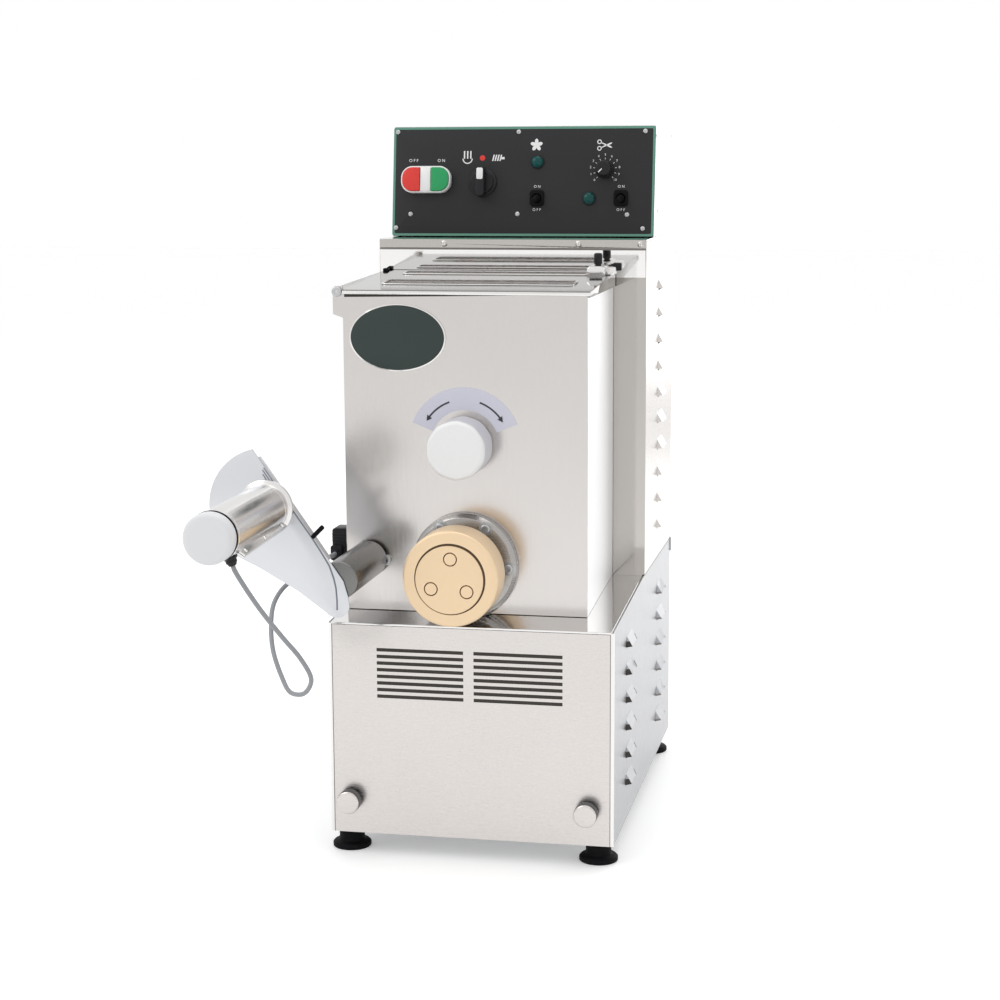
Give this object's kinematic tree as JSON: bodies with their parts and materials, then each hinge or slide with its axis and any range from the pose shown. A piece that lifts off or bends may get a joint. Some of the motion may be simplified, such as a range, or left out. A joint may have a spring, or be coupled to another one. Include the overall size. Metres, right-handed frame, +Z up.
{
  "type": "electric pasta maker",
  "caption": "Bench pasta extruder with a lidded mixing tub, an auger and die with ring nut, a swing-over motor cutter, and a steel tower with a control panel.",
  "frame": {"origin": "on the surface it stands on, under the middle of the machine's box, taken without the cutter's cord and plug", "axes": "+X to the machine's right seen from the front, +Y to the back, +Z up"},
  "size_m": [0.379, 0.6798, 0.707],
  "materials": {
    "satin_steel": "satin-brushed stainless sheet",
    "polished_steel": "polished stainless sheet",
    "bright_steel": "bright polished steel",
    "zinc_steel": "zinc-plated steel",
    "grey_casting": "grey cast metal, satin",
    "die_bronze": "pale turned bronze",
    "white_plastic": "smooth white plastic",
    "black_plastic": "black moulded plastic",
    "black_rubber": "black rubber",
    "panel_black": "black printed panel with a green line",
    "red_plastic": "red push-button plastic",
    "green_plastic": "green push-button plastic",
    "teal_lens": "translucent teal lens",
    "cord_grey": "grey cable sheath",
    "circuit_board": "printed circuit board with parts"
  },
  "bodies": {
    "casing": {"base_tray": "zinc_steel", "front_panel": "satin_steel", "side_panel_left": "satin_steel", "side_panel_right": "satin_steel", "base_deck": "polished_steel", "back_panel": "satin_steel", "tower_front": "polished_steel", "upper_side_left": "satin_steel", "upper_side_right": "satin_steel", "tower_top": "satin_steel", "control_box": "satin_steel", "control_panel": "panel_black", "tub_jacket": "polished_steel", "tub_front": "polished_steel", "mixing_trough": "satin_steel", "auger_barrel": "bright_steel", "die": "die_bronze", "gearbox": "grey_casting", "drive_motor": "grey_casting", "drive_belt": "black_rubber", "blower_housing": "zinc_steel", "control_board": "circuit_board", "foot_front_left": "black_rubber", "foot_front_right": "black_rubber", "foot_rear_left": "black_rubber", "foot_rear_right": "black_rubber", "hinge_spindle": "bright_steel", "cable_socket": "black_plastic", "mains_inlet": "black_plastic", "button_bezel": "bright_steel", "fan_lamp": "teal_lens", "cutter_lamp": "teal_lens", "cutter_cord": "cord_grey", "cord_plug": "black_plastic"},
    "lid_assembly": {"lid": "polished_steel", "lid_knob": "black_plastic"},
    "gate": {"gate_knob": "white_plastic", "gate_shutter": "satin_steel"},
    "auger": {"auger_screw": "bright_steel", "auger_gear": "zinc_steel"},
    "mixer": {"mixer_shaft": "bright_steel", "mixer_gear": "zinc_steel"},
    "gearbox_input": {"gearbox_pulley": "zinc_steel"},
    "motor_shaft": {"motor_pulley": "zinc_steel"},
    "blower_rotor": {"blower_wheel": "black_plastic"},
    "cutter_arm": {"arm_sleeve": "grey_casting", "cutter_guard": "polished_steel", "cutter_motor": "bright_steel", "cutter_cap": "white_plastic", "cutter_gland": "black_plastic"},
    "knife": {"cutter_knife": "zinc_steel"},
    "stop_push": {"stop_button": "red_plastic"},
    "start_push": {"start_button": "green_plastic"},
    "selector": {"selector_knob": "black_plastic"},
    "speed_dial": {"speed_knob": "black_plastic"},
    "fan_switch": {"fan_toggle": "black_rubber"},
    "cutter_switch": {"cutter_toggle": "black_rubber"},
    "nut": {"ring_nut": "die_bronze"},
    "left_thumb_screw": {"thumb_knob_left": "bright_steel"},
    "right_thumb_screw": {"thumb_knob_right": "bright_steel"}
  },
  "joints": [
    {"name": "lid_hinge", "type": "hinge", "parent": "casing", "child": "lid_assembly", "pos_m": [-0.095, 0.02905, 0.5485], "axis": [0, -1, 0], "range_deg": [0, 105]},
    {"name": "gate_turn", "type": "hinge", "parent": "casing", "child": "gate", "pos_m": [0.0304, -0.07095, 0.4015], "axis": [0, 1, 0], "range_deg": [0, 50]},
    {"name": "gearbox_input_spin", "type": "hinge", "parent": "casing", "child": "gearbox_input", "pos_m": [0.0304, 0.28005, 0.3235], "axis": [0, 1, 0], "continuous": true},
    {"name": "motor_spin", "type": "hinge", "parent": "casing", "child": "motor_shaft", "pos_m": [0.0304, 0.28005, 0.1235], "axis": [0, 1, 0], "continuous": true},
    {"name": "auger_spin", "type": "hinge", "parent": "casing", "child": "auger", "pos_m": [0.0304, 0.13905, 0.283], "axis": [0, 1, 0], "continuous": true},
    {"name": "mixer_spin", "type": "hinge", "parent": "casing", "child": "mixer", "pos_m": [0.0304, 0.13905, 0.4015], "axis": [0, 1, 0], "continuous": true},
    {"name": "blower_spin", "type": "hinge", "parent": "casing", "child": "blower_rotor", "pos_m": [0.044, -0.03895, 0.1835], "axis": [1, 0, 0], "continuous": true},
    {"name": "cutter_swing", "type": "hinge", "parent": "casing", "child": "cutter_arm", "pos_m": [-0.0655, -0.10095, 0.2875], "axis": [0, 1, 0], "range_deg": [0, 137.8]},
    {"name": "knife_spin", "type": "hinge", "parent": "cutter_arm", "child": "knife", "pos_m": [-0.1335, -0.14595, 0.35526], "axis": [0, 1, 0], "continuous": true},
    {"name": "stop_press", "type": "slide", "parent": "casing", "child": "stop_push", "axis": [0, 0.9911, -0.1331], "range_m": [0, 0.0034], "stiffness_N_per_m": 300},
    {"name": "start_press", "type": "slide", "parent": "casing", "child": "start_push", "axis": [0, 0.9911, -0.1331], "range_m": [0, 0.0034], "stiffness_N_per_m": 300},
    {"name": "selector_turn", "type": "hinge", "parent": "casing", "child": "selector", "pos_m": [0.0015, 0.17804, 0.64869], "axis": [0, -0.9911, 0.1331], "range_deg": [-45, 45]},
    {"name": "speed_turn", "type": "hinge", "parent": "casing", "child": "speed_dial", "pos_m": [0.1315, 0.1798, 0.66178], "axis": [0, 0.9911, -0.1331], "range_deg": [0, 270]},
    {"name": "fan_toggle_tilt", "type": "hinge", "parent": "casing", "child": "fan_switch", "pos_m": [0.06, 0.1743, 0.63214], "axis": [-1, 0, 0], "range_deg": [0, 24]},
    {"name": "cutter_toggle_tilt", "type": "hinge", "parent": "casing", "child": "cutter_switch", "pos_m": [0.149, 0.1743, 0.63214], "axis": [-1, 0, 0], "range_deg": [0, 24]},
    {"name": "nut_turn", "type": "hinge", "parent": "casing", "child": "nut", "pos_m": [0.0304, -0.10095, 0.283], "axis": [0, 1, 0], "continuous": true},
    {"name": "left_thumb_turn", "type": "hinge", "parent": "casing", "child": "left_thumb_screw", "pos_m": [-0.0755, -0.11095, 0.0555], "axis": [0, 1, 0], "continuous": true},
    {"name": "right_thumb_turn", "type": "hinge", "parent": "casing", "child": "right_thumb_screw", "pos_m": [0.1585, -0.11095, 0.0555], "axis": [0, 1, 0], "continuous": true}
  ],
  "couplings": [
    {"joint": "auger_spin", "follows": "gearbox_input_spin", "ratio": 0.125},
    {"joint": "mixer_spin", "follows": "gearbox_input_spin", "ratio": -0.061321},
    {"joint": "motor_spin", "follows": "gearbox_input_spin", "ratio": 2.5}
  ]
}
